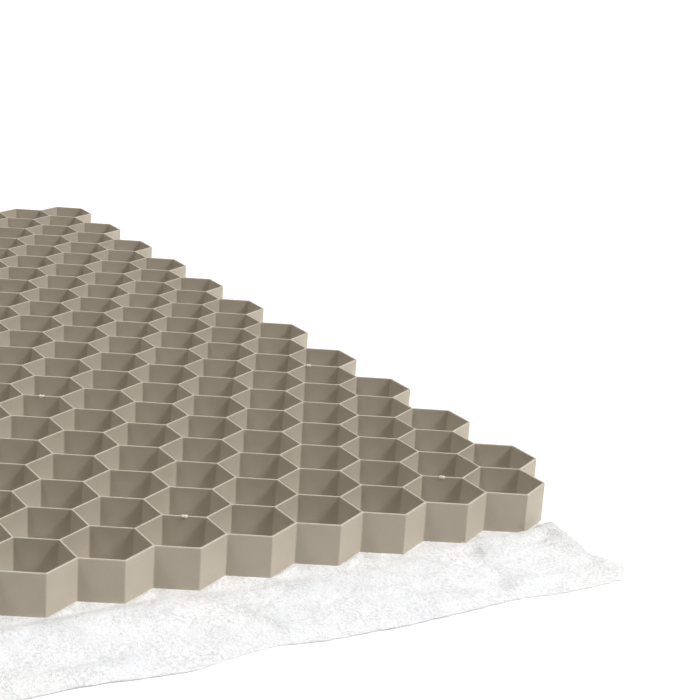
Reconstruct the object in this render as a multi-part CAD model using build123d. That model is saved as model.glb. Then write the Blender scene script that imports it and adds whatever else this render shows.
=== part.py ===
# Gravel grid: a honeycomb panel moulded in one piece, bonded to a sheet of white fleece.
# X runs along the rows of cells, Y across the rows and Z up; the unit is the millimetre.
# The origin is the middle of the whole outline, on the floor under the fleece.
from build123d import *
import math
import os

# Driving dimensions of the moulded grid
cell_pitch = 51.0
rim_wall = 1.2
foot_wall = 1.8
grid_height = 29.0
row_count = 22
cells_in_row = 23

# Driving dimensions of the fleece
fleece_thickness = 1.0
fleece_flap = 90.0

# The one moulding is stored in bands of rows, because it has too many crossings for one file
band_count = 4

# Sizes that follow from the driving dimensions
wall_length = cell_pitch / math.sqrt(3)
row_pitch = cell_pitch * math.sqrt(3) / 2
stagger = cell_pitch / 2
half_foot = foot_wall / 2
tip_growth = half_foot / math.cos(math.radians(30))
grid_half_width = (cells_in_row * cell_pitch + stagger) / 2 + half_foot
grid_depth = (row_count - 1) * row_pitch + 2 * (wall_length + tip_growth)
panel_depth = grid_depth + fleece_flap
grid_back = panel_depth / 2
grid_front = grid_back - grid_depth
first_row_y = grid_front + tip_growth + wall_length
foot_z = fleece_thickness
rim_z = foot_z + grid_height

# The fleece is trimmed halfway up the zigzag of the outer cells, except at the flap
side_trim = half_foot + stagger / 2
back_trim = tip_growth + wall_length / 4


def cell_centre(column, row):
    """Plan centre of a cell. Column 0 is at -X, row 0 at -Y, and odd rows step half a cell to +X."""
    first_x = -grid_half_width + half_foot + cell_pitch / 2
    step = stagger if row % 2 else 0.0
    return first_x + column * cell_pitch + step, first_row_y + row * row_pitch


def outer_wall_line():
    """Centre line of the outer walls: a zigzag along the front and back, stepped row ends at the sides."""
    half, peak = cell_pitch / 2, wall_length
    last_column, last_row = cells_in_row - 1, row_count - 1
    front, back, right, left = [], [], [], []
    for column in range(cells_in_row):
        x, y = cell_centre(column, 0)
        front += [(x - half, y - peak / 2), (x, y - peak)]
        x, y = cell_centre(column, last_row)
        back += [(x, y + peak), (x + half, y + peak / 2)]
    for row in range(row_count):
        x, y = cell_centre(last_column, row)
        right += [(x + half, y - peak / 2), (x + half, y + peak / 2)]
        x, y = cell_centre(0, row)
        left += [(x - half, y - peak / 2), (x - half, y + peak / 2)]
    return front + right + back[-2::-1] + left[:0:-1]


def grid_block():
    """The solid block that the cells are cut from, out to the faces of the outer walls."""
    plan = make_face(Polyline(*outer_wall_line(), close=True))
    plan = offset(plan, amount=half_foot, kind=Kind.INTERSECTION)
    return extrude(Pos(0, 0, foot_z) * plan, amount=grid_height)


def cell_pocket():
    """One open cell. It is drafted, so the walls are thinner at the rim than at the foot."""
    def section(wall, z):
        clear_half = (cell_pitch - wall) / 2
        return Pos(0, 0, z) * RegularPolygon(clear_half, 6, major_radius=False, rotation=30)
    return loft([section(foot_wall, foot_z), section(rim_wall, rim_z)], ruled=True)


def band_rows():
    """First and last row of each band. Neighbouring bands meet on the centre line of a shared row."""
    cuts = [round(k * (row_count - 1) / band_count) for k in range(band_count + 1)]
    return list(zip(cuts[:-1], cuts[1:]))


def grid_band(block, pocket, first, last):
    """The walls between two row centre lines, with every cell that reaches into the band cut out."""
    low = cell_centre(0, first)[1] if first > 0 else grid_front
    high = cell_centre(0, last)[1] if last < row_count - 1 else grid_back
    slab = Pos(0, (low + high) / 2, (foot_z + rim_z) / 2) * Box(2 * grid_half_width, high - low, grid_height)
    cells = [
        Pos(*cell_centre(column, row)) * pocket
        for row in range(first, last + 1)
        for column in range(cells_in_row)
    ]
    return (block & slab) - Compound(cells)


def fleece():
    """The sheet under the grid, with its flap running out past the front for the next panel."""
    low_y, high_y = -panel_depth / 2, grid_back - back_trim
    width = 2 * (grid_half_width - side_trim)
    middle = Pos(0, (low_y + high_y) / 2, fleece_thickness / 2)
    return middle * Box(width, high_y - low_y, fleece_thickness)


os.makedirs("parts", exist_ok=True)
block, pocket = grid_block(), cell_pocket()
for number, (first, last) in enumerate(band_rows(), start=1):
    export_step(grid_band(block, pocket, first, last), f"parts/honeycomb_band_{number}.step")
export_step(fleece(), "parts/fleece_sheet.step")
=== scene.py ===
# Gravel grid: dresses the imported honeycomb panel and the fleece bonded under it.
# Lengths are in metres. X runs along the rows of cells, Y across the rows and Z up.
import math

import bmesh
import bpy
from mathutils import Matrix, Vector, noise


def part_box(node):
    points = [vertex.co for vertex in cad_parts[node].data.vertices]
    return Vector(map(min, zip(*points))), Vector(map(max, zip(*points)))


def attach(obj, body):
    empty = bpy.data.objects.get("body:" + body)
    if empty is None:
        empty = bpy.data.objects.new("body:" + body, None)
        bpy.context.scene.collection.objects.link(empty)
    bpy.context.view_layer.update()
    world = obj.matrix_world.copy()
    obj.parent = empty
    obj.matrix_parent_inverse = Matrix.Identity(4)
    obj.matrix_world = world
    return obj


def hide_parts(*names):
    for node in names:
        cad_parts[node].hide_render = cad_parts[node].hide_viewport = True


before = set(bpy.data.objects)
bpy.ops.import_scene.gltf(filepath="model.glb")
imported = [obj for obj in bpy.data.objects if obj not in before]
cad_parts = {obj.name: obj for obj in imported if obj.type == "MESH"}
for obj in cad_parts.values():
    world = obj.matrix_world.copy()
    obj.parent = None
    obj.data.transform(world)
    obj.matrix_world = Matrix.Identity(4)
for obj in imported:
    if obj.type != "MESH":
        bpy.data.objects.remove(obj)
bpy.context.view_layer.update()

MM = 0.001
UP = Vector((0, 0, 1))
DOWN = Vector((0, 0, -1))

# The bends of the small creases depend on this seed
noise.seed_set(1)

# Half the angle that the wall of a cell turns by at a corner, and where its six corners lie around it
HALF_CORNER = math.radians(30)
CORNER_ANGLES = [math.radians(30 + 60 * corner) for corner in range(6)]

# The lattice, from the frame and the counts of the moulding
BANDS = [f"honeycomb_band_{number}" for number in (1, 2, 3, 4)]
ROWS = 22
CELLS_IN_ROW = 23
RIM_HALF_WALL = 0.6 * MM
FOOT_HALF_WALL = 0.9 * MM
GRID_LOW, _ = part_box(BANDS[0])
_, GRID_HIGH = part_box(BANDS[-1])
FOOT_Z, RIM_Z = GRID_LOW.z, GRID_HIGH.z
PITCH = (GRID_HIGH.x - GRID_LOW.x - 2 * FOOT_HALF_WALL) / (CELLS_IN_ROW + 0.5)
PEAK = PITCH / math.sqrt(3)
ROW_PITCH = PITCH * math.sqrt(3) / 2
FIRST_X = GRID_LOW.x + FOOT_HALF_WALL + PITCH / 2
FIRST_Y = GRID_LOW.y + FOOT_HALF_WALL / math.cos(HALF_CORNER) + PEAK

# Mould radii, and how far from a corner the rounding reaches along a wall
CORNER_RADIUS = 1.3 * MM
RIM_RADIUS = 0.35 * MM
CORNER_STEPS = 4
CORNER_SHARES = [step / CORNER_STEPS for step in range(CORNER_STEPS + 1)]
CORNER_REACH = (RIM_HALF_WALL + CORNER_RADIUS) * math.tan(HALF_CORNER)


def cell_centre(column, row):
    """Plan centre of a cell. Odd rows step half a cell to +X."""
    step = PITCH / 2 if row % 2 else 0.0
    return Vector((FIRST_X + column * PITCH + step, FIRST_Y + row * ROW_PITCH))


def direction(angle):
    return Vector((math.cos(angle), math.sin(angle)))


def raised(plan, z):
    return Vector((plan.x, plan.y, z))


def tilted(plan_normal, tilt):
    return Vector((plan_normal.x * math.cos(tilt), plan_normal.y * math.cos(tilt), math.sin(tilt)))


def smooth_step(value):
    value = min(1.0, max(0.0, value))
    return value * value * (3 - 2 * value)


def wobble(*place):
    """Smooth noise around zero at a place."""
    return noise.noise(Vector(place))


def add_object(name, data):
    piece = bpy.data.objects.new(name, data)
    bpy.context.scene.collection.objects.link(piece)
    return piece


class MeshBuilder:
    """Collects points with their normals, one for each place, and the faces between them."""

    def __init__(self):
        self.points = []
        self.normals = []
        self.faces = []
        self.index = {}

    def point(self, place, normal):
        key = tuple(round(value * 1e6) for value in place)
        if key not in self.index:
            self.index[key] = len(self.points)
            self.points.append(tuple(place))
            self.normals.append(tuple(normal))
        return self.index[key]

    def ring(self, places, normals):
        return [self.point(place, normal) for place, normal in zip(places, normals)]

    def strip(self, low, high):
        """Faces between two rings of as many points."""
        count = len(low)
        for i in range(count):
            j = (i + 1) % count
            self.faces.append((low[i], low[j], high[j], high[i]))

    def make(self, name):
        mesh = bpy.data.meshes.new(name)
        mesh.from_pydata(self.points, [], self.faces)
        mesh.validate()
        mesh.normals_split_custom_set_from_vertices(self.normals)
        return add_object(name, mesh)


def wall_profile(foot_half, rim_half):
    """Heights, half walls and tilts of the normal on one side of a wall, from its foot to its rim."""
    round_z = RIM_Z - RIM_RADIUS
    lean = (foot_half - rim_half) / (RIM_Z - FOOT_Z)
    at_round = rim_half + lean * RIM_RADIUS
    slope = math.atan(lean)
    half_turn = math.radians(45)
    middle = at_round - RIM_RADIUS * (1 - math.cos(half_turn))
    return [
        (FOOT_Z, foot_half, slope),
        (round_z, at_round, slope),
        (round_z + RIM_RADIUS * math.sin(half_turn), middle, half_turn),
        (RIM_Z, at_round - RIM_RADIUS, math.radians(90)),
    ]


def add_skin(builder, crest, profile, outlines, inward):
    """One side of the walls, from their centre lines under the foot to their centre lines on the rim."""
    rings = [builder.ring([raised(p, FOOT_Z) for p in crest], [DOWN] * len(crest))]
    for (z, _, tilt), (points, normals) in zip(profile, outlines):
        rings.append(builder.ring([raised(p, z) for p in points], [tilted(n, tilt) for n in normals]))
    rings.append(builder.ring([raised(p, RIM_Z) for p in crest], [UP] * len(crest)))
    for low, high in zip(rings[:-1], rings[1:]):
        if inward:
            builder.strip(high, low)
        else:
            builder.strip(low, high)


def cell_crest(centre):
    """Points on the centre lines of a cell's six walls, as many as its rounded corners have."""
    points = []
    for angle in CORNER_ANGLES:
        vertex = centre + direction(angle) * PEAK
        for share in CORNER_SHARES:
            side = -1 if share < 0.5 else 1
            along = direction(angle + side * math.radians(120))
            points.append(vertex + along * CORNER_REACH * abs(2 * share - 1))
    return points


def cell_outline(centre, half_wall):
    """Outline of an open cell at one height, with rounded corners, and its plan normals."""
    to_middle = PEAK - (half_wall + CORNER_RADIUS) / math.cos(HALF_CORNER)
    points, normals = [], []
    for angle in CORNER_ANGLES:
        middle = centre + direction(angle) * to_middle
        for share in CORNER_SHARES:
            outward = direction(angle + HALF_CORNER * (2 * share - 1))
            points.append(middle + outward * CORNER_RADIUS)
            normals.append(-outward)
    return points, normals


def add_cell(builder, centre):
    profile = wall_profile(FOOT_HALF_WALL, RIM_HALF_WALL)
    outlines = [cell_outline(centre, half_wall) for _, half_wall, _ in profile]
    add_skin(builder, cell_crest(centre), profile, outlines, inward=True)


def outer_wall_line():
    """Corners of the outer walls' centre line, counter-clockwise from the front left."""
    half = PITCH / 2
    last_column, last_row = CELLS_IN_ROW - 1, ROWS - 1
    front, back, right, left = [], [], [], []
    for column in range(CELLS_IN_ROW):
        x, y = cell_centre(column, 0)
        front += [(x - half, y - PEAK / 2), (x, y - PEAK)]
        x, y = cell_centre(column, last_row)
        back += [(x, y + PEAK), (x + half, y + PEAK / 2)]
    for row in range(ROWS):
        x, y = cell_centre(last_column, row)
        right += [(x + half, y - PEAK / 2), (x + half, y + PEAK / 2)]
        x, y = cell_centre(0, row)
        left += [(x - half, y - PEAK / 2), (x - half, y + PEAK / 2)]
    return [Vector(p) for p in front + right + back[-2::-1] + left[:0:-1]]


def outer_corners():
    """Each corner of the outer walls: its place, the ways in and out, the facing before it and its turn."""
    line = outer_wall_line()
    corners = []
    for i, vertex in enumerate(line):
        before = (vertex - line[i - 1]).normalized()
        after = (line[(i + 1) % len(line)] - vertex).normalized()
        facing = math.atan2(-before.x, before.y)
        turn = math.atan2(before.cross(after), before.dot(after))
        corners.append((vertex, before, after, facing, turn))
    return corners


def outer_crest(corners):
    """Points on the centre line of the outer walls, as many as their rounded corners have."""
    points = []
    for vertex, before, after, _, _ in corners:
        for share in CORNER_SHARES:
            along = -before if share < 0.5 else after
            points.append(vertex + along * CORNER_REACH * abs(2 * share - 1))
    return points


def outer_outline(corners, half_wall):
    """Outer face of the outer walls at one height, with rounded corners, and its plan normals."""
    points, normals = [], []
    for vertex, _, _, facing, turn in corners:
        bulge = 1 if turn > 0 else -1
        bisector = direction(facing + turn / 2)
        middle = vertex + bisector * (half_wall - bulge * CORNER_RADIUS) / math.cos(turn / 2)
        for share in CORNER_SHARES:
            outward = direction(facing + turn * share)
            points.append(middle + outward * bulge * CORNER_RADIUS)
            normals.append(outward)
    return points, normals


def add_outer_walls(builder):
    corners = outer_corners()
    profile = wall_profile(FOOT_HALF_WALL, FOOT_HALF_WALL)
    outlines = [outer_outline(corners, half_wall) for _, half_wall, _ in profile]
    add_skin(builder, outer_crest(corners), profile, outlines, inward=False)


def make_honeycomb():
    builder = MeshBuilder()
    for row in range(ROWS):
        for column in range(CELLS_IN_ROW):
            add_cell(builder, cell_centre(column, row))
    add_outer_walls(builder)
    return builder.make("honeycomb_grid")


# The gates: small torn lumps left on the rims where the melt came in
GATE_HALF_LENGTH = 2.4 * MM
GATE_RADIUS = 1.5 * MM
GATE_RISE = 0.9 * MM
GATE_ROUGHNESS = 0.22
GATE_WAIST = 0.3

# The cell above each gate as row and column, and how far along its front left wall the gate lies, 0 to 1
GATES = [(1, column, 0.5) for column in range(1, CELLS_IN_ROW, 4)]
GATES += [(7, column, 0.5) for column in range(1, CELLS_IN_ROW, 8)]
GATES += [(7, CELLS_IN_ROW - 1, 0.1)]


def add_gate(mesh, centre, share, seed):
    """A double lump astride the front left wall of a cell."""
    along = direction(math.radians(-30))
    across = direction(math.radians(60))
    middle = centre + direction(math.radians(240)) * PITCH / 2 + along * PEAK * (share - 0.5)
    lump = bmesh.ops.create_icosphere(mesh, subdivisions=3, radius=1)["verts"]
    for vert in lump:
        ball = vert.co.copy()
        rough = 1 + GATE_ROUGHNESS * noise.noise(ball * 1.7 + Vector((seed * 7.3, 0, 0)))
        waist = 1 - GATE_WAIST * math.exp(-(ball.x * 3.2) ** 2)
        plan = middle + along * ball.x * GATE_HALF_LENGTH * rough
        plan += across * ball.y * GATE_RADIUS * waist * rough
        rise = min(ball.z * GATE_RADIUS * waist * rough, GATE_RADIUS)
        vert.co = raised(plan, RIM_Z + GATE_RISE - GATE_RADIUS + rise)


def make_gates():
    mesh = bmesh.new()
    for row, column, share in GATES:
        add_gate(mesh, cell_centre(column, row), share, row * CELLS_IN_ROW + column)
    for face in mesh.faces:
        face.smooth = True
    data = bpy.data.meshes.new("gate_nubs")
    mesh.to_mesh(data)
    mesh.free()
    return add_object("gate_nubs", data)


# The fleece: its size from the frame, the steps of its mesh, and how it thins towards its edges
SHEET_LOW, SHEET_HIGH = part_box("fleece_sheet")
SHEET_THICK = SHEET_HIGH.z - SHEET_LOW.z
FLAP_STEP = 2.0 * MM
UNDER_STEP = 66.0 * MM
EDGE_THIN = 0.7
EDGE_TAPER = 6.0 * MM

# The flap starts a little behind the notches between the front cells
FRONT = GRID_LOW.y
NOTCH_DEPTH = FOOT_HALF_WALL + PEAK / 2
FLAP_BACK = FRONT + NOTCH_DEPTH + 2 * MM

# Places and heights on the flap are in millimetres: "along" is the place along X from the middle of the
# panel, and "out" is the way forward from the foremost point of the cells

# How far the front edge of the flap lies in front of its straight cut, as pairs of along and distance
FRONT_EDGE = [(-600, 1), (-480, -3), (-390, 3), (-250, -2), (-90, 4), (40, -1), (120, 0), (167, -2),
              (243, 4), (297, -4), (340, 2), (400, 3), (483, -2), (533, 2), (600, 1)]

# How far the side edges lie inside their straight cuts, as pairs of out and distance, and where that starts
RIGHT_EDGE = [(-60, 1), (-40, 14), (-4, 17), (4, 18.5), (18, 18), (31, 19.5), (53, 21), (59, 19), (71, 7),
              (79, 13), (93, 25)]
LEFT_EDGE = [(-12, 0), (10, 4), (35, 9), (60, 5), (80, 9), (96, 16)]
PULL_START = 470
PULL_REACH = 116

# How deep the edges fray, and where the fray of the side edges starts
FRAY_DEPTH = 0.9
FRAY_START = -8

# How far the front edge stands off the floor, as pairs of along and height, and how far back that reaches
EDGE_LIFT = [(-600, 0.2), (-420, 0.7), (-300, 0.1), (-120, 0.6), (40, 0.1), (150, 0.7), (225, 0.5),
             (270, 0.1), (330, 0.2), (390, 0.8), (445, 0.7), (490, 0.2), (540, 0.3), (600, 0.1)]
LIFT_WOBBLE = 0.5
LIFT_REACH = 12

# The share of the folds, waves and creases that is left at the front edge, and how far back they are whole
EDGE_SHARE = 0.12
EDGE_REACH = 14

# They start from nothing between the cells and beside the walls, and this is how far they take to be whole
RISE_START = -12
RISE_REACH = 14
WALL_REACH = 5

# Low waves, and how far in front of the cells they start and are whole
WAVE_MEAN = 0.4
WAVE_SWING = 1.3
WAVE_START = 6
WAVE_REACH = 24

# Small creases, which are deeper in front of the cells than between them
CREASE_BETWEEN = 0.5
CREASE_IN_FRONT = 1.4
CREASE_START = 4
CREASE_REACH = 20

# The sheet leans up against the right side of each front cell, as far as the folds at the right end
HUG_HEIGHT = 2.4
HUG_AWAY = 3.5
HUG_WIDTH = 4
HUG_END = 440

# Folds: the line of each crest as along, out and height, and how wide the fold is on its near and far sides
FOLDS = [
    ([(450, 5, 0.6), (478, 5, 2.4), (510, 5, 2.6), (540, 5, 2.8), (556, 5, 5.0), (572, 6, 7.0)], 9, 5),
    ([(570, 5, 7.0), (570, 18, 6.0), (570, 31, 4.4), (570, 44, 2.8), (572, 56, 0.8)], 30, 11),
    ([(120, 16, 2.8), (165, 15, 3.9), (205, 15, 4.2), (245, 14, 4.0), (275, 12, 2.8), (300, 10, 0.5)],
     15, 10),
    ([(268, 4, 1.6), (292, 16, 2.8), (306, 34, 2.7), (314, 55, 2.7), (320, 80, 2.2), (322, 96, 1.0)], 13, 6),
    ([(512, 3, 1.6), (498, 20, 2.6), (492, 42, 2.2), (496, 58, 2.2), (484, 75, 2.2), (474, 94, 1.2)], 14, 6),
    ([(484, 69, 0.6), (500, 67, 2.6), (518, 68, 2.4), (534, 72, 0.5)], 6, 3),
    ([(345, 14, 1.6), (372, 26, 2.8), (390, 44, 2.4), (396, 62, 0.8)], 16, 9),
    ([(418, 60, 0.5), (432, 70, 1.8), (452, 74, 1.8), (470, 76, 0.5)], 9, 7),
    ([(150, 66, 0.6), (185, 74, 2.0), (215, 74, 2.2), (236, 68, 0.6)], 12, 6),
    ([(552, 24, 2.0), (566, 40, 3.0), (570, 58, 2.6), (562, 76, 1.2)], 12, 5),
    ([(-555, 12, 2.8), (-470, 14, 3.4), (-380, 11, 2.6), (-330, 12, 0.6)], 14, 8),
    ([(-300, 5, 1.2), (-282, 30, 3.2), (-262, 58, 3.0), (-256, 92, 1.0)], 14, 5),
    ([(-140, 8, 1.6), (-158, 34, 2.8), (-150, 62, 3.0), (-168, 92, 1.0)], 15, 6),
    ([(-60, 12, 2.2), (0, 15, 3.0), (60, 13, 2.4), (95, 14, 1.2)], 13, 8),
    ([(10, 88, 0.8), (34, 64, 2.8), (62, 44, 2.4), (76, 26, 0.8)], 14, 7),
    ([(-585, 40, 3.0), (-566, 60, 3.6), (-560, 92, 1.4)], 12, 6),
]
FOLD_REACH = 30
FOLD_BLEND = 4


def on_curve(points, at):
    """Smooth value at one place on a curve given as (place, value) points."""
    for (a, low), (b, high) in zip(points[:-1], points[1:]):
        if at <= b:
            return low + (high - low) * smooth_step((at - a) / (b - a))
    return points[-1][1]


def fold_height(along, out, line, near_width, far_width):
    """Height of one fold. Its near side is the front one, or the right one if the fold runs across."""
    runs_along = abs(line[-1][0] - line[0][0]) > abs(line[-1][1] - line[0][1])
    nearest, height, near_side = math.inf, 0.0, True
    for (ax, ay, ah), (bx, by, bh) in zip(line[:-1], line[1:]):
        dx, dy = bx - ax, by - ay
        share = ((along - ax) * dx + (out - ay) * dy) / (dx * dx + dy * dy)
        share = min(1.0, max(0.0, share))
        away_x, away_y = along - ax - dx * share, out - ay - dy * share
        away = math.hypot(away_x, away_y)
        if away < nearest:
            nearest, height = away, ah + (bh - ah) * share
            near_side = away_y > 0 if runs_along else away_x > 0
    width = near_width if near_side else far_width
    return height * math.exp(-(nearest / width) ** 2)


def folds_height(along, out):
    """Height of all the folds together. Where they cross, the higher one counts for most."""
    total = 0.0
    for line, near_width, far_width in FOLDS:
        low = min(point[0] for point in line) - FOLD_REACH
        high = max(point[0] for point in line) + FOLD_REACH
        if low < along < high:
            total += fold_height(along, out, line, near_width, far_width) ** FOLD_BLEND
    return total ** (1 / FOLD_BLEND)


def waves_height(along, out):
    wave = WAVE_MEAN + WAVE_SWING * wobble(along * 0.013, out * 0.018, 3.1)
    return max(0.0, wave) * smooth_step((out - WAVE_START) / WAVE_REACH)


def creases_height(along, out):
    """Height of sharp little ridges at three scales, on places that a soft noise has bent."""
    place = Vector((along * 0.055, out * 0.075, 1.3))
    bend = noise.noise_vector(place * 0.6) * 0.7
    total, scale, weight = 0.0, 1.0, 0.6
    for _ in range(3):
        total += weight * (1 - 2 * abs(noise.noise((place + bend) * scale)))
        scale *= 2.1
        weight *= 0.5
    in_front = smooth_step((out - CREASE_START) / CREASE_REACH)
    return (CREASE_BETWEEN + (CREASE_IN_FRONT - CREASE_BETWEEN) * in_front) * max(0.0, total)


def hug_height(gap, zigzag):
    """Height of the sheet where it leans against a wall, from the gap to it and its share of the zigzag."""
    ridge = HUG_HEIGHT * math.exp(-((gap - HUG_AWAY) / HUG_WIDTH) ** 2)
    return ridge * smooth_step(zigzag * 2) * smooth_step((1 - zigzag) * 4)


def flap_height(x, y):
    """How far the underside of the sheet stands off the floor, in metres as x and y are."""
    in_row = (x - FIRST_X) / PITCH
    zigzag = abs(in_row - round(in_row)) * 2
    gap = FRONT + NOTCH_DEPTH * zigzag - y
    if gap <= 0:
        return 0.0
    along, out = x / MM, (FRONT - y) / MM
    height = folds_height(along, out) + waves_height(along, out) + creases_height(along, out)
    height *= smooth_step((out - RISE_START) / RISE_REACH)
    if in_row > round(in_row) and along < HUG_END:
        height = max(height, hug_height(gap / MM, zigzag))
    to_edge = (y - front_edge(x)) / MM
    height *= EDGE_SHARE + (1 - EDGE_SHARE) * smooth_step(to_edge / EDGE_REACH)
    lift = on_curve(EDGE_LIFT, along) * (1 + LIFT_WOBBLE * wobble(along * 0.03, 0.5, 7.7))
    height += lift * (1 - smooth_step(to_edge / LIFT_REACH))
    return height * smooth_step(gap / (WALL_REACH * MM)) * MM


def front_edge(x):
    """Where the frayed front edge of the flap lies along Y."""
    along = x / MM
    fray = FRAY_DEPTH * (wobble(along * 0.16, 0.5, 0.2) + wobble(along * 0.045, 2.5, 0.2))
    return SHEET_LOW.y - (on_curve(FRONT_EDGE, along) + fray) * MM


def sheet_point(across, down):
    """A point of the underside from its place on the cut sheet: 0 to 1 along X, and metres from the back."""
    straight_x = SHEET_LOW.x + (SHEET_HIGH.x - SHEET_LOW.x) * across
    y = SHEET_HIGH.y - down
    if y < FLAP_BACK:
        share = (FLAP_BACK - y) / (FLAP_BACK - SHEET_LOW.y)
        y = FLAP_BACK + (front_edge(straight_x) - FLAP_BACK) * share
    out = (FRONT - y) / MM
    fray = FRAY_DEPTH * wobble(out * 0.16, across * 3, 5.1) if out > FRAY_START else 0.0
    from_middle = straight_x / MM
    pull_right = (on_curve(RIGHT_EDGE, out) + fray) * smooth_step((from_middle - PULL_START) / PULL_REACH)
    pull_left = (on_curve(LEFT_EDGE, out) + fray) * smooth_step((-from_middle - PULL_START) / PULL_REACH)
    x = straight_x + (pull_left - pull_right) * MM
    return Vector((x, y, flap_height(x, y)))


def sheet_rows():
    """How far each row of points lies from the back edge: wide apart under the grid, close on the flap."""
    under = SHEET_HIGH.y - FLAP_BACK
    flap = FLAP_BACK - SHEET_LOW.y
    under_rows = round(under / UNDER_STEP)
    flap_rows = round(flap / FLAP_STEP)
    downs = [under * i / under_rows for i in range(under_rows)]
    return downs + [under + flap * i / flap_rows for i in range(flap_rows + 1)]


def sheet_thickness(row, column, rows, columns):
    """Thickness at a point, from its count of steps to the nearest of the front and side edges."""
    to_edge = min(rows - 1 - row, column, columns - column) * FLAP_STEP
    return SHEET_THICK * (EDGE_THIN + (1 - EDGE_THIN) * smooth_step(to_edge / EDGE_TAPER))


def sheet_faces(rows, columns):
    """Faces between rows that have one point more than there are columns."""
    wide = columns + 1
    faces = []
    for row in range(rows - 1):
        for a in range(row * wide, row * wide + columns):
            faces.append((a, a + 1, a + wide + 1, a + wide))
    return faces


def sheet_rim(rows, columns):
    """The points along the edge of one side, in order: back, right, front and left."""
    wide = columns + 1
    last = (rows - 1) * wide
    right = [row * wide + columns for row in range(1, rows)]
    front = [last + column for column in range(columns - 1, -1, -1)]
    left = [row * wide for row in range(rows - 2, 0, -1)]
    return list(range(wide)) + right + front + left


def make_fleece():
    columns = round((SHEET_HIGH.x - SHEET_LOW.x) / FLAP_STEP)
    downs = sheet_rows()
    rows = len(downs)
    under_side, top_side = [], []
    for row, down in enumerate(downs):
        for column in range(columns + 1):
            point = sheet_point(column / columns, down)
            under_side.append(point)
            top_side.append(point + UP * sheet_thickness(row, column, rows, columns))
    top = len(under_side)
    faces = sheet_faces(rows, columns)
    faces += [tuple(k + top for k in face[::-1]) for face in faces]
    rim = sheet_rim(rows, columns)
    faces += [(b, a, a + top, b + top) for a, b in zip(rim, rim[1:] + rim[:1])]
    mesh = bpy.data.meshes.new("fleece")
    mesh.from_pydata(under_side + top_side, [], faces)
    mesh.validate()
    mesh.shade_smooth()
    mesh.set_sharp_from_angle(angle=math.radians(60))
    return add_object("fleece", mesh)


class Nodes:
    """Short ways to add shader nodes to a new material."""

    def __init__(self, name):
        self.material = bpy.data.materials.new(name)
        self.material.use_nodes = True
        self.tree = self.material.node_tree
        self.shader = self.tree.nodes["Principled BSDF"]
        self.place = self.tree.nodes.new("ShaderNodeTexCoord").outputs["Object"]

    def link(self, value, socket):
        if isinstance(value, bpy.types.NodeSocket):
            self.tree.links.new(value, socket)
        else:
            socket.default_value = value

    def noise(self, scale, detail=2.0, roughness=0.5, place=None):
        """Noise with about as many lumps to the metre as the scale says."""
        node = self.tree.nodes.new("ShaderNodeTexNoise")
        node.inputs["Scale"].default_value = scale
        node.inputs["Detail"].default_value = detail
        node.inputs["Roughness"].default_value = roughness
        self.tree.links.new(place or self.place, node.inputs["Vector"])
        return node.outputs["Fac"]

    def stretched(self, turn, stretch, place):
        """Places turned about Z by degrees and squeezed along their own X, which draws a noise out."""
        node = self.tree.nodes.new("ShaderNodeMapping")
        node.vector_type = "TEXTURE"
        node.inputs["Rotation"].default_value = (0, 0, math.radians(turn))
        node.inputs["Scale"].default_value = (stretch, 1, 1)
        self.tree.links.new(place, node.inputs["Vector"])
        return node.outputs["Vector"]

    def bent(self, scale, amount):
        """Places pushed about by a soft noise."""
        node = self.tree.nodes.new("ShaderNodeTexNoise")
        node.inputs["Scale"].default_value = scale
        self.tree.links.new(self.place, node.inputs["Vector"])
        centred = self.vector("SUBTRACT", node.outputs["Color"], (0.5, 0.5, 0.5))
        pushed = self.vector("SCALE", centred, None, amount)
        return self.vector("ADD", self.place, pushed)

    def vector(self, operation, a, b=None, scale=None):
        node = self.tree.nodes.new("ShaderNodeVectorMath")
        node.operation = operation
        self.link(a, node.inputs[0])
        if b is not None:
            self.link(b, node.inputs[1])
        if scale is not None:
            node.inputs["Scale"].default_value = scale
        return node.outputs["Vector"]

    def distance(self):
        """How far a place lies from the origin."""
        node = self.tree.nodes.new("ShaderNodeVectorMath")
        node.operation = "LENGTH"
        self.tree.links.new(self.place, node.inputs[0])
        return node.outputs["Value"]

    def height(self):
        node = self.tree.nodes.new("ShaderNodeSeparateXYZ")
        self.tree.links.new(self.place, node.inputs["Vector"])
        return node.outputs["Z"]

    def math(self, operation, a, b=0.0):
        node = self.tree.nodes.new("ShaderNodeMath")
        node.operation = operation
        self.link(a, node.inputs[0])
        self.link(b, node.inputs[1])
        return node.outputs["Value"]

    def ramp(self, value, low, high, to_low=0.0, to_high=1.0):
        node = self.tree.nodes.new("ShaderNodeMapRange")
        node.interpolation_type = "SMOOTHSTEP"
        self.link(value, node.inputs["Value"])
        node.inputs["From Min"].default_value = low
        node.inputs["From Max"].default_value = high
        node.inputs["To Min"].default_value = to_low
        node.inputs["To Max"].default_value = to_high
        return node.outputs["Result"]

    def mix(self, share, a, b):
        node = self.tree.nodes.new("ShaderNodeMix")
        node.data_type = "RGBA"
        self.link(share, node.inputs["Factor"])
        self.link(a, node.inputs["A"])
        self.link(b, node.inputs["B"])
        return node.outputs["Result"]

    def bump(self, value, distance, under=None):
        node = self.tree.nodes.new("ShaderNodeBump")
        node.inputs["Distance"].default_value = distance
        self.link(value, node.inputs["Height"])
        if under is not None:
            self.tree.links.new(under, node.inputs["Normal"])
        return node.outputs["Normal"]

    def finish(self, colour, roughness, normal):
        self.link(colour, self.shader.inputs["Base Color"])
        self.link(roughness, self.shader.inputs["Roughness"])
        self.link(normal, self.shader.inputs["Normal"])
        return self.material


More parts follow.
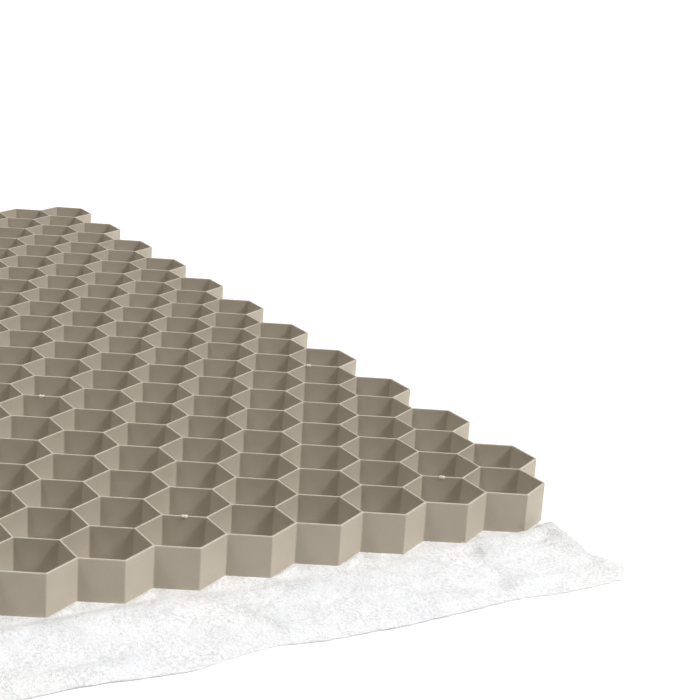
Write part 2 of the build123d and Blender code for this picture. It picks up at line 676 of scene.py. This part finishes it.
# Colours of the plastic
TAUPE_DARK = (0.425, 0.375, 0.302, 1)
TAUPE_LIGHT = (0.468, 0.415, 0.336, 1)
# Painted bounce light: the paler colour the walls take towards their foot
TAUPE_FOOT_BOUNCE_LIGHT = (0.52, 0.46, 0.372, 1)
TAUPE_GRAIN = (0.40, 0.350, 0.278, 1)
# Painted highlight: the paler colour of the rim tops
TAUPE_RIM_HIGHLIGHT = (0.60, 0.545, 0.462, 1)
TORN_DARK = (0.68, 0.62, 0.52, 1)
TORN_LIGHT = (0.86, 0.82, 0.73, 1)


def plastic_material():
    """Taupe moulded plastic: fine matt grain, faint mottling, painted bounce light that makes it paler
    towards the foot, and a painted highlight in patches along the rims.
    """
    nodes = Nodes("taupe_plastic")
    grain = nodes.noise(1600, detail=2)
    mottle = nodes.ramp(nodes.noise(28, detail=3), 0.3, 0.7)
    colour = nodes.mix(mottle, TAUPE_DARK, TAUPE_LIGHT)
    # Painted bounce light: the walls turn paler towards the foot, standing in for light thrown up from the
    # white fleece
    low = nodes.ramp(nodes.height(), FOOT_Z, RIM_Z - 3 * MM, 0.75, 0.0)
    colour = nodes.mix(low, colour, TAUPE_FOOT_BOUNCE_LIGHT)
    colour = nodes.mix(nodes.ramp(grain, 0.25, 0.75, 0.0, 0.35), colour, TAUPE_GRAIN)
    # Painted highlight: paler plastic in patches over the top of the rims, standing in for the sheen they
    # catch
    highlight_patches = nodes.ramp(nodes.noise(420, detail=3, roughness=0.65), 0.3, 0.62, 0.55, 1.0)
    rim = nodes.ramp(nodes.height(), RIM_Z - 0.9 * MM, RIM_Z - 0.15 * MM)
    colour = nodes.mix(nodes.math("MULTIPLY", rim, highlight_patches), colour, TAUPE_RIM_HIGHLIGHT)
    roughness = nodes.ramp(grain, 0.3, 0.7, 0.5, 0.62)
    soft = nodes.bump(nodes.noise(70, detail=2), 0.12 * MM)
    nodes.shader.inputs["Specular IOR Level"].default_value = 0.42
    return nodes.finish(colour, roughness, nodes.bump(grain, 0.035 * MM, soft))


def gate_material():
    """Torn, stress-whitened plastic."""
    nodes = Nodes("torn_plastic")
    grain = nodes.noise(900, detail=3)
    colour = nodes.mix(nodes.ramp(grain, 0.3, 0.7), TORN_DARK, TORN_LIGHT)
    return nodes.finish(colour, nodes.ramp(grain, 0.3, 0.7, 0.35, 0.55), nodes.bump(grain, 0.08 * MM))


# Colours of the fleece
FLEECE_COOL = (0.945, 0.95, 0.98, 1)
FLEECE_WARM = (0.96, 0.96, 0.95, 1)
# Painted shade: the grey of the hollows between the tufts
FLEECE_PIT_SHADE = (0.715, 0.72, 0.735, 1)
FLEECE_FIBRES = (0.96, 0.96, 0.96, 1)
FLEECE_THIN = (0.78, 0.785, 0.79, 1)
# Painted shade: the grey of the sheet where it stands off the floor
FLEECE_LIFTED_SHADE = (0.68, 0.69, 0.71, 1)
FLEECE_SPECKS = (0.62, 0.57, 0.45, 1)

# Directions of the crossing fibres in degrees, and how many lie side by side in a metre
FIBRES = [(25, 900), (80, 800), (140, 850)]


def fibre_mat(nodes):
    """Crossing fibres, thin and bright against the rest."""
    mat = 0.0
    for turn, scale in FIBRES:
        place = nodes.stretched(turn, 7, nodes.bent(90, 5 * MM))
        streaks = nodes.noise(scale, detail=2, roughness=0.6, place=place)
        mat = nodes.math("MAXIMUM", mat, nodes.ramp(streaks, 0.44, 0.66))
    return mat


def fleece_material():
    """White needled fleece: a mat of crossing fibres, greyer where it is thin, with painted shade in the
    hollows between the tufts and where it stands off the ground.
    """
    nodes = Nodes("white_fleece")
    mat = fibre_mat(nodes)
    tufts = nodes.noise(400, detail=3, roughness=0.6)
    tint = nodes.ramp(nodes.noise(9, detail=1), 0.4, 0.6)
    colour = nodes.mix(tint, FLEECE_COOL, FLEECE_WARM)
    # Painted shade: grey in the hollows between the tufts, where the bump is low
    patches = nodes.ramp(nodes.noise(48, detail=2), 0.35, 0.62, 0.35, 1.0)
    pit_shade = nodes.math("MULTIPLY", nodes.ramp(tufts, 0.36, 0.58, 1.0, 0.0), patches)
    colour = nodes.mix(pit_shade, colour, FLEECE_PIT_SHADE)
    colour = nodes.mix(nodes.math("MULTIPLY", mat, 0.4), colour, FLEECE_FIBRES)
    thin = nodes.noise(22, detail=4, roughness=0.6)
    colour = nodes.mix(nodes.ramp(thin, 0.5, 0.7, 0.0, 0.3), colour, FLEECE_THIN)
    # Painted shade: greyer the higher the sheet stands off the floor, standing in for the light a thin sheet
    # lets through from the floor beneath
    lifted_shade = nodes.ramp(nodes.height(), SHEET_THICK + 1.2 * MM, SHEET_THICK + 3.8 * MM, 0.0, 0.25)
    colour = nodes.mix(lifted_shade, colour, FLEECE_LIFTED_SHADE)
    soiled = nodes.ramp(nodes.noise(60, detail=1), 0.66, 0.74)
    dots = nodes.ramp(nodes.noise(260, detail=2), 0.5, 0.7, 0.0, 0.5)
    colour = nodes.mix(nodes.math("MULTIPLY", soiled, dots), colour, FLEECE_SPECKS)
    soft = nodes.bump(tufts, 1.0 * MM)
    nodes.shader.inputs["Sheen Weight"].default_value = 0.15
    nodes.shader.inputs["Sheen Roughness"].default_value = 0.5
    nodes.shader.inputs["Specular IOR Level"].default_value = 0.2
    return nodes.finish(colour, 0.95, nodes.bump(mat, 0.25 * MM, soft))


# The floor, which brightens away from the panel like a lit cove
FLOOR_HALF = 20.0
FLOOR_Z = -0.25 * MM
FLOOR_COLOUR = (0.95, 0.95, 0.95, 1)
COVE_START = 0.6
COVE_END = 2.4
COVE_GLOW_NEAR = 0.12
COVE_GLOW = 0.85


def add_floor():
    nodes = Nodes("floor")
    glow = nodes.ramp(nodes.distance(), COVE_START, COVE_END, COVE_GLOW_NEAR, COVE_GLOW)
    nodes.shader.inputs["Base Color"].default_value = FLOOR_COLOUR
    nodes.shader.inputs["Roughness"].default_value = 0.9
    nodes.shader.inputs["Specular IOR Level"].default_value = 0.0
    nodes.shader.inputs["Emission Color"].default_value = (1, 1, 1, 1)
    nodes.link(glow, nodes.shader.inputs["Emission Strength"])
    mesh = bpy.data.meshes.new("floor")
    ends = (-FLOOR_HALF, FLOOR_HALF)
    mesh.from_pydata([(x, y, FLOOR_Z) for y in ends for x in ends], [], [(0, 1, 3, 2)])
    floor = add_object("floor", mesh)
    floor.data.materials.append(nodes.material)


# The camera, placed from the middle of the right front cell at the height of the rim
CAMERA_OFFSET = Vector((-0.68598, -0.89039, 0.41728))
CAMERA_AZIMUTH = math.radians(-31.653)
CAMERA_ELEVATION = math.radians(16.339)
CAMERA_ROLL = math.radians(4.02)
LENS_MM = 84.9
SENSOR_MM = 36


def add_camera():
    """The photograph's view: from the front left, low over the rows, towards the right front corner."""
    cell = cell_centre(CELLS_IN_ROW - 1, 0)
    data = bpy.data.cameras.new("camera")
    data.sensor_width = SENSOR_MM
    data.lens = LENS_MM
    camera = add_object("camera", data)
    turn = Matrix.Rotation(CAMERA_AZIMUTH, 4, "Z") @ Matrix.Rotation(math.pi / 2 - CAMERA_ELEVATION, 4, "X")
    turn = turn @ Matrix.Rotation(CAMERA_ROLL, 4, "Z")
    camera.matrix_world = Matrix.Translation(raised(cell, RIM_Z) + CAMERA_OFFSET) @ turn
    bpy.context.scene.camera = camera


# The lights, soft boxes at one distance and elevation around a point near the right front corner
LIGHT_AIM = Vector((0.3, -0.15, 0))
LIGHT_DISTANCE = 8.0
LIGHT_ELEVATION = math.radians(45)
WORLD_STRENGTH = 0.15
WARM_WHITE = (1, 0.965, 0.91)


def add_light(name, azimuth, width, power, colour=(1, 1, 1)):
    """A soft box on one side, its azimuth in degrees from +X towards +Y."""
    flat = direction(math.radians(azimuth)) * math.cos(LIGHT_ELEVATION)
    away = raised(flat, math.sin(LIGHT_ELEVATION))
    data = bpy.data.lights.new(name, "AREA")
    data.size = width
    data.energy = power
    data.color = colour
    light = add_object(name, data)
    light.location = LIGHT_AIM + away * LIGHT_DISTANCE
    light.rotation_euler = away.to_track_quat("Z", "Y").to_euler()


def add_lights():
    world = bpy.data.worlds.new("world")
    world.use_nodes = True
    background = world.node_tree.nodes["Background"]
    background.inputs["Color"].default_value = (1, 1, 1, 1)
    background.inputs["Strength"].default_value = WORLD_STRENGTH
    bpy.context.scene.world = world
    add_light("key", azimuth=-44, width=2.25, power=578)
    add_light("left", azimuth=-171, width=2.0, power=158, colour=WARM_WHITE)
    add_light("back", azimuth=100, width=3.0, power=150)
    bpy.context.scene.view_settings.view_transform = "Standard"


add_camera()
add_lights()
add_floor()

honeycomb = make_honeycomb()
honeycomb.data.materials.append(plastic_material())
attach(honeycomb, "root")
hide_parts(*BANDS)

gates = make_gates()
gates.data.materials.append(gate_material())
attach(gates, "root")

fleece = make_fleece()
fleece.data.materials.append(fleece_material())
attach(fleece, "root")
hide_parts("fleece_sheet")
